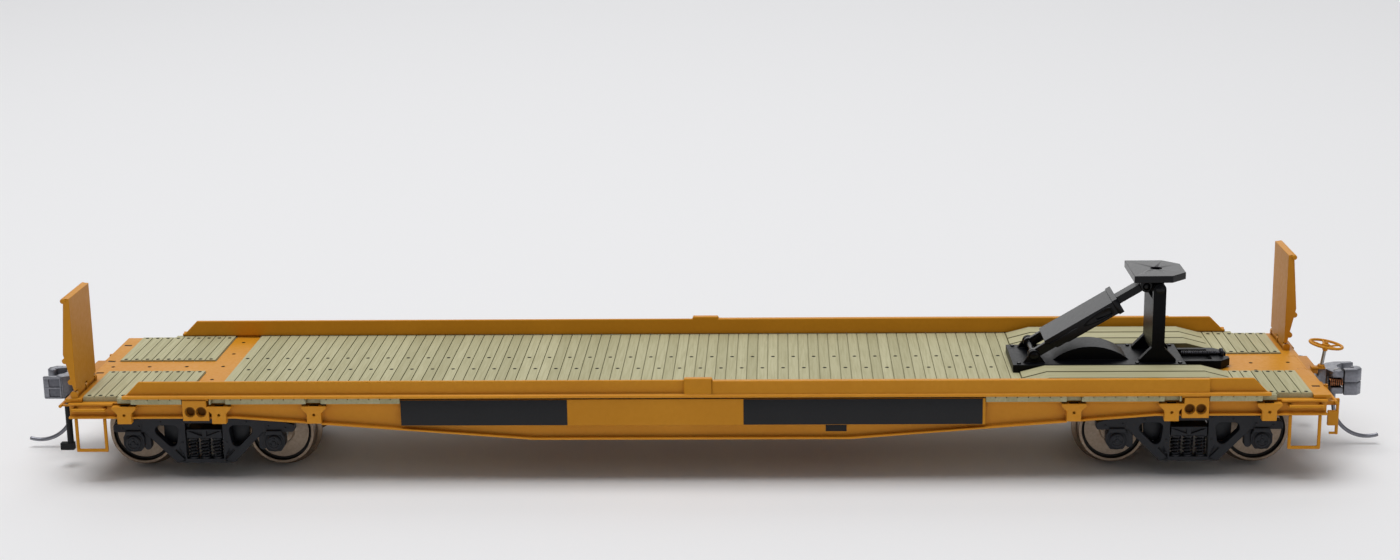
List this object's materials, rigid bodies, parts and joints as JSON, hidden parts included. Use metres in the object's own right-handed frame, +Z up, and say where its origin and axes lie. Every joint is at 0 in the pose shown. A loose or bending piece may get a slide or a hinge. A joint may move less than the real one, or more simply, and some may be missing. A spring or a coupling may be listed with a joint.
{
  "type": "model freight car",
  "caption": "Scale model flat freight car for road trailers: plank deck between rub rails, raised trailer hitch, hinged bridge plates, swivelling bogies and knuckle couplers.",
  "frame": {"origin": "centre of the bounding box at the lowest point of the wheel flanges", "axes": "+X along the car towards the end with the hitch and brake wheel (B end), +Y across to the car's left, +Z up"},
  "size_m": [0.1984, 0.0346, 0.0268],
  "materials": {
    "orange_paint": "satin",
    "orange_shade": "satin",
    "plank": "matte",
    "black_plastic": "satin",
    "wheel_metal": "brushed",
    "steel": "satin",
    "coupler_metal": "cast",
    "copper": "bright",
    "rubber": "matte"
  },
  "bodies": {
    "car": {"side_sill_left": "orange_paint", "side_sill_right": "orange_paint", "letter_boards": "orange_paint", "end_sills": "orange_paint", "end_plate_a": "orange_paint", "end_plate_b": "orange_paint", "rub_rail_left": "orange_paint", "rub_rail_right": "orange_paint", "bridge_hinges": "orange_paint", "corner_steps": "orange_paint", "grab_irons": "orange_paint", "brake_wheel": "orange_paint", "uncoupling_levers": "orange_paint", "center_sill": "orange_shade", "body_bolsters": "orange_shade", "crossbearers": "orange_shade", "brake_cylinder": "orange_shade", "air_reservoir": "orange_shade", "control_valve": "orange_shade", "train_pipe": "orange_shade", "draft_boxes": "orange_shade", "deck_planks": "plank", "end_planks_a": "plank", "end_planks_b": "plank", "hitch_timbers": "plank", "air_hoses": "rubber", "hitch_base": "black_plastic", "hitch_strut": "black_plastic", "hitch_leg": "black_plastic", "hitch_head": "black_plastic", "hitch_screw": "steel", "pivot_pins": "steel"},
    "bogie_a": {"side_frames_a": "black_plastic", "bogie_bolster_a": "black_plastic", "springs_a": "black_plastic", "brake_beams_a": "black_plastic"},
    "bogie_b": {"side_frames_b": "black_plastic", "bogie_bolster_b": "black_plastic", "springs_b": "black_plastic", "brake_beams_b": "black_plastic"},
    "wheelset_1": {"wheels_1": "wheel_metal", "axle_1": "steel"},
    "wheelset_2": {"wheels_2": "wheel_metal", "axle_2": "steel"},
    "wheelset_3": {"wheels_3": "wheel_metal", "axle_3": "steel"},
    "wheelset_4": {"wheels_4": "wheel_metal", "axle_4": "steel"},
    "coupler_a": {"coupler_a": "coupler_metal", "knuckle_a": "coupler_metal", "knuckle_spring_a": "copper"},
    "coupler_b": {"coupler_b": "coupler_metal", "knuckle_b": "coupler_metal", "knuckle_spring_b": "copper"},
    "bridge_plate_a": {"bridge_plate_a": "orange_paint"},
    "bridge_plate_b": {"bridge_plate_b": "orange_paint"}
  },
  "joints": [
    {"name": "bogie_a_swivel", "type": "hinge", "parent": "car", "child": "bogie_a", "pos_m": [-0.06912, 0, 0.0091], "axis": [0, 0, 1], "range_deg": [-10, 10]},
    {"name": "bogie_b_swivel", "type": "hinge", "parent": "car", "child": "bogie_b", "pos_m": [0.06912, 0, 0.0091], "axis": [0, 0, 1], "range_deg": [-10, 10]},
    {"name": "wheelset_1_spin", "type": "hinge", "parent": "bogie_a", "child": "wheelset_1", "pos_m": [-0.07912, 0, 0.00546], "axis": [0, 1, 0], "continuous": true},
    {"name": "wheelset_2_spin", "type": "hinge", "parent": "bogie_a", "child": "wheelset_2", "pos_m": [-0.05912, 0, 0.00546], "axis": [0, 1, 0], "continuous": true},
    {"name": "wheelset_3_spin", "type": "hinge", "parent": "bogie_b", "child": "wheelset_3", "pos_m": [0.05912, 0, 0.00546], "axis": [0, 1, 0], "continuous": true},
    {"name": "wheelset_4_spin", "type": "hinge", "parent": "bogie_b", "child": "wheelset_4", "pos_m": [0.07912, 0, 0.00546], "axis": [0, 1, 0], "continuous": true},
    {"name": "coupler_a_swing", "type": "hinge", "parent": "car", "child": "coupler_a", "pos_m": [-0.0826, 0, 0.01], "axis": [0, 0, 1], "range_deg": [-10, 10], "stiffness_Nm_per_rad": 0.0003},
    {"name": "coupler_b_swing", "type": "hinge", "parent": "car", "child": "coupler_b", "pos_m": [0.0826, 0, 0.01], "axis": [0, 0, 1], "range_deg": [-10, 10], "stiffness_Nm_per_rad": 0.0003},
    {"name": "bridge_plate_a_hinge", "type": "hinge", "parent": "car", "child": "bridge_plate_a", "pos_m": [-0.0868, -0.011, 0.01285], "axis": [0, -1, 0], "range_deg": [0, 90]},
    {"name": "bridge_plate_b_hinge", "type": "hinge", "parent": "car", "child": "bridge_plate_b", "pos_m": [0.0868, 0.011, 0.01285], "axis": [0, 1, 0], "range_deg": [0, 90]}
  ]
}
